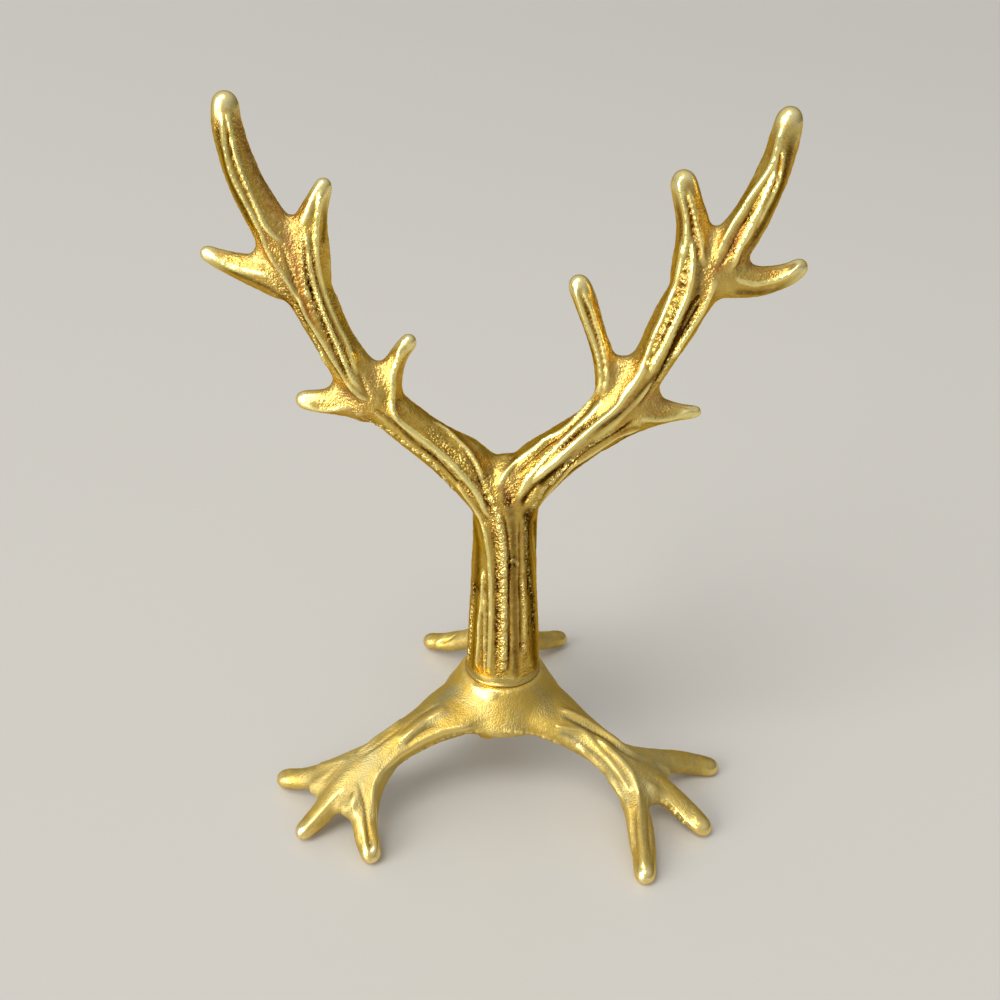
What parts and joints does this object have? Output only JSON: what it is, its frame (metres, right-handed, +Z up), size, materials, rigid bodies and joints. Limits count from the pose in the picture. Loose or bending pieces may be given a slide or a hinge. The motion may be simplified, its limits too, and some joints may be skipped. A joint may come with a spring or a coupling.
{
  "type": "ring holder",
  "caption": "Antler ring holder: a forked upright with side tines, screwed from below onto an arched root-like tripod base, for hanging rings.",
  "frame": {"origin": "bottom centre of the bounding box, on the table", "axes": "+Z up, +X to the right and +Y to the back as the fork is seen from the front; the fork lies in the XZ plane"},
  "size_m": [0.0914, 0.0734, 0.1187],
  "materials": {
    "upright_gold": "bright gold-coloured plating over a fluted, grainy casting",
    "base_gold": "satin gold-coloured plating over a smooth casting",
    "screw_steel": "bright zinc plate",
    "washer_steel": "dull zinc plate"
  },
  "bodies": {
    "root": {"antler_upright": "upright_gold", "tripod_base": "base_gold", "base_screw": "screw_steel", "washer": "washer_steel"}
  },
  "joints": []
}
